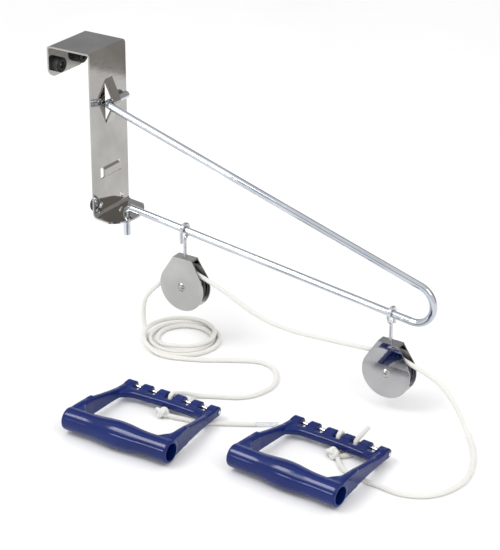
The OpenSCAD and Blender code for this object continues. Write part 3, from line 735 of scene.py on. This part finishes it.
def grip_piece(side):
    """One hand grip: its parts fused and smoothed into a moulding, then bored."""
    bm = bmesh.new()
    tube(bm)
    for s in (-1, 1):
        blade(bm, s)
    bar(bm)
    for i in range(LUGS):
        lug(bm, (i - (LUGS - 1) / 2) * PITCH)
    raw = solid_of("grip_raw_" + side, bm)
    fuse = raw.modifiers.new("remesh", "REMESH")
    fuse.mode = "VOXEL"
    fuse.voxel_size = 0.62
    smooth = raw.modifiers.new("smooth", "SMOOTH")
    smooth.factor = 0.5
    smooth.iterations = 7
    cutter = bore_cutter(side)
    cut = raw.modifiers.new("bore", "BOOLEAN")
    cut.object = cutter
    cut.operation = "DIFFERENCE"
    cut.solver = "EXACT"
    bpy.context.view_layer.update()
    dg = bpy.context.evaluated_depsgraph_get()
    mesh = bpy.data.meshes.new_from_object(raw.evaluated_get(dg), depsgraph=dg)
    for ob in (cutter, raw):
        bpy.data.objects.remove(ob)
    (x, y), turn = GRIPS[side]
    turned = Matrix.Rotation(math.radians(turn), 4, "Z")
    mesh.transform(Matrix.Translation(mm((x, y, FLOOR))) @ turned @ Matrix.Scale(MM, 4))
    for f in mesh.polygons:
        f.use_smooth = True
    mesh.materials.clear()
    mesh.materials.append(blue)
    ob = linked("grip_moulding_" + side, mesh)
    mesh.set_sharp_from_angle(angle=math.radians(42))
    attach(ob, side + "_grip")
    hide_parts(side + "_handle")


for side in ("inner", "outer"):
    grip_piece(side)

# ---------------------------------------------------------------- finishes on the CAD pieces
FINISH = {
    "bracket_strip": steel, "tongue_bumpers": rubber, "foot_bumpers": rubber, "tongue_rivets": bright,
    "foot_rivets": bright, "arm_rod": chrome, "rope_tip_sleeve": sleeve,
}
for side in ("inner", "outer"):
    FINISH.update({
        side + "_hook": zinc, side + "_housing": sheet, side + "_axle": steel,
        side + "_washers": bright, side + "_sheave": wheel, side + "_bar_rod": zinc,
    })
FINISH["outer_housing"] = mirror
for name, finish in FINISH.items():
    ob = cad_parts[name]
    if not ob.material_slots:
        ob.data.materials.append(None)
    for s in ob.material_slots:
        s.link = "OBJECT"
        s.material = finish

# ---------------------------------------------------------------- room: floor, light, things to reflect
# The room's own sizes are in metres. The floor lies 0.2 mm under the object.
FLOOR_Z = FLOOR * MM - 0.0002
FLOOR_REACH = 6


def plane(name, corners, mat):
    """A flat piece of the room, not of the object."""
    mesh = bpy.data.meshes.new(name)
    mesh.from_pydata([tuple(c) for c in corners], [], [(0, 1, 2, 3)])
    mesh.materials.append(mat)
    ob = linked(name, mesh)
    return ob


def floor_material():
    """Plain and pale, very faintly clouded."""
    mat, tree, bsdf = new_mat("floor")
    shade = two_tone(tree, noise_of(tree, 3.0), (0.90, 0.90, 0.90), (0.93, 0.93, 0.93))
    tree.links.new(shade, bsdf.inputs["Base Color"])
    bsdf.inputs["Roughness"].default_value = 0.9
    bsdf.inputs["Specular IOR Level"].default_value = 0.1
    return mat


def glow(name, colour, power):
    """A plain glowing material, for a card."""
    mat, tree, bsdf = new_mat(name)
    bsdf.inputs["Base Color"].default_value = (0, 0, 0, 1)
    bsdf.inputs["Emission Color"].default_value = (*colour, 1)
    bsdf.inputs["Emission Strength"].default_value = power
    return mat


def card(name, corners, mat):
    """Something for polished metal to reflect: seen only in reflections."""
    ob = plane(name, corners, mat)
    ob.visible_camera = False
    ob.visible_diffuse = False
    ob.visible_shadow = False
    ob.visible_transmission = False


def area(name, at, target, size, power):
    """A soft rectangular light that faces its target."""
    lamp = bpy.data.lights.new(name, "AREA")
    lamp.shape = "RECTANGLE"
    lamp.size, lamp.size_y = size
    lamp.energy = power
    ob = linked(name, lamp)
    ob.location = at
    ob.rotation_euler = (Vector(target) - Vector(at)).to_track_quat("-Z", "Y").to_euler()


plane("floor", [(x * FLOOR_REACH, y * FLOOR_REACH, FLOOR_Z) for x, y in ((-1, -1), (1, -1), (1, 1), (-1, 1))],
      floor_material())

# Two grey cards behind, two bright ones for the long highlights, and a dark band opposite the plate
card("back_card", [(0.1, 0.55, FLOOR_Z + 0.001), (1.6, 0.55, FLOOR_Z + 0.001), (1.6, 0.55, 0.5),
                   (0.1, 0.55, 0.5)], glow("grey_card", (0.36, 0.34, 0.32), 1.0))
card("high_card", [(-1.6, 0.6, 0.25), (0.2, 0.9, 0.25), (0.2, 0.9, 1.5), (-1.6, 0.6, 1.5)],
     glow("dark_card", (0.31, 0.31, 0.32), 1.0))
soft_card = glow("soft_card", (1.0, 0.98, 1.0), 13.0)
card("soft_high", [(-0.85, -0.85, 0.9), (-0.25, -0.85, 0.9), (-0.25, -0.35, 1.35), (-0.85, -0.35, 1.35)],
     soft_card)
card("soft_low", [(-0.75, -1.55, 0.28), (-0.35, -1.75, 0.28), (-0.35, -1.75, 0.48), (-0.75, -1.55, 0.48)],
     soft_card)
card("band_card", [(-1.2, -2.2, 0.75), (2.4, -2.2, 0.75), (2.4, -2.2, 1.25), (-1.2, -2.2, 1.25)],
     glow("band_card", (0.06, 0.07, 0.09), 1.0))

world = bpy.data.worlds.new("studio")
bpy.context.scene.world = world
world.use_nodes = True
world.node_tree.nodes["Background"].inputs["Color"].default_value = (1, 1, 1, 1)
world.node_tree.nodes["Background"].inputs["Strength"].default_value = 0.95
area("key", (-0.4, -0.9, 1.2), (0.15, -0.05, -0.15), (0.9, 0.6), 9)
area("fill", (1.3, -0.4, 0.9), (0.2, -0.05, -0.2), (0.7, 0.7), 4)
bpy.context.scene.view_settings.view_transform = "Standard"
